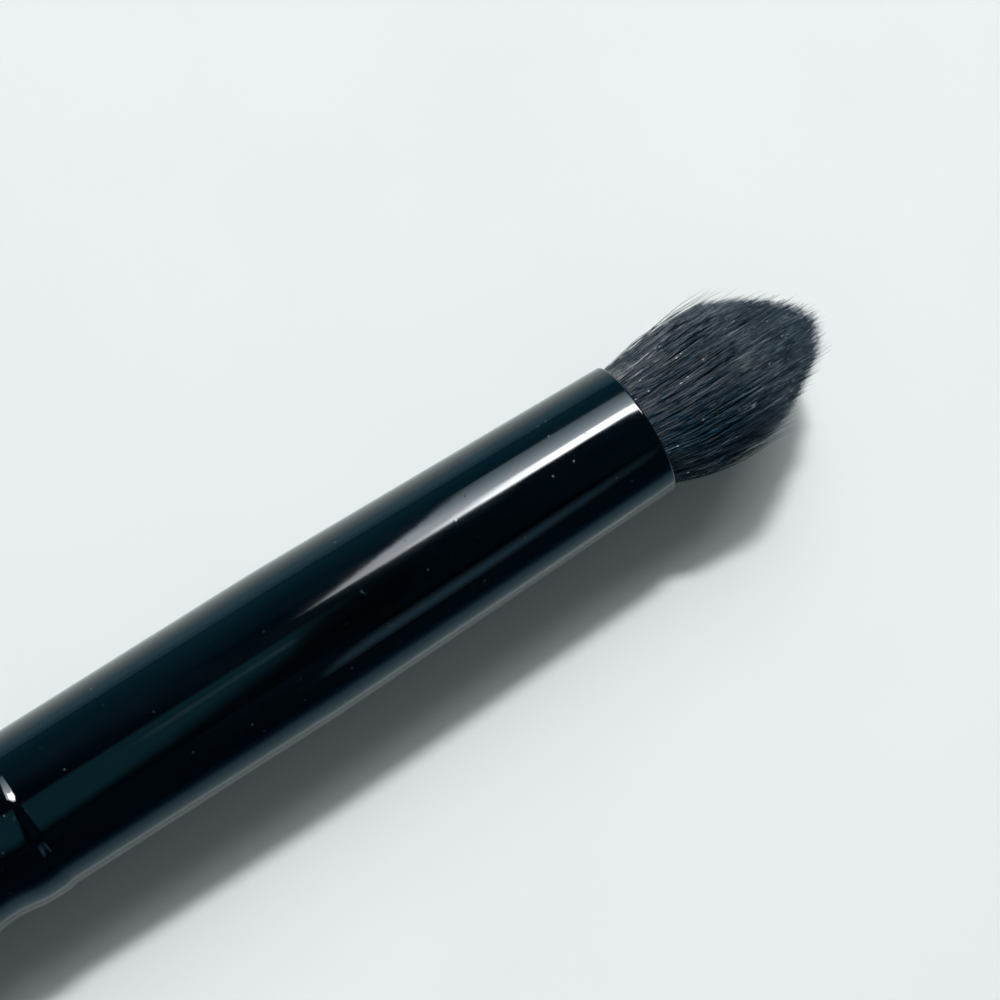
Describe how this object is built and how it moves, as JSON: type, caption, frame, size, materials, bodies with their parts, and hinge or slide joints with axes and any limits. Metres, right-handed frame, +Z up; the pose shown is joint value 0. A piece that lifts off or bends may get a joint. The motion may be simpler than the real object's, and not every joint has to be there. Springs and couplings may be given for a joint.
{
  "type": "eyeshadow brush",
  "caption": "Small makeup brush with a domed pointed tuft of dark bristles in a gloss black crimped ferrule on a slim tapered black handle.",
  "frame": {"origin": "on the surface that the brush lies on, under the middle of its length and under its axis, with the flat of its grip on that surface", "axes": "+X along the brush's axis towards the tip of the bristles, +Z up, +Y completes the frame"},
  "size_m": [0.1707, 0.0098, 0.0096],
  "materials": {
    "lacquered_wood": "black gloss lacquer",
    "black_ferrule": "black gloss enamel",
    "glue": "cured amber glue",
    "resin": "cured epoxy",
    "thread": "waxed thread",
    "bristles": "dark soft hair, slightly dusted"
  },
  "bodies": {
    "root": {"handle": "lacquered_wood", "ferrule": "black_ferrule", "tenon_glue": "glue", "root_resin": "resin", "binding_thread": "thread", "core_bristles": "bristles", "middle_bristles": "bristles", "outer_bristles": "bristles"}
  },
  "joints": []
}
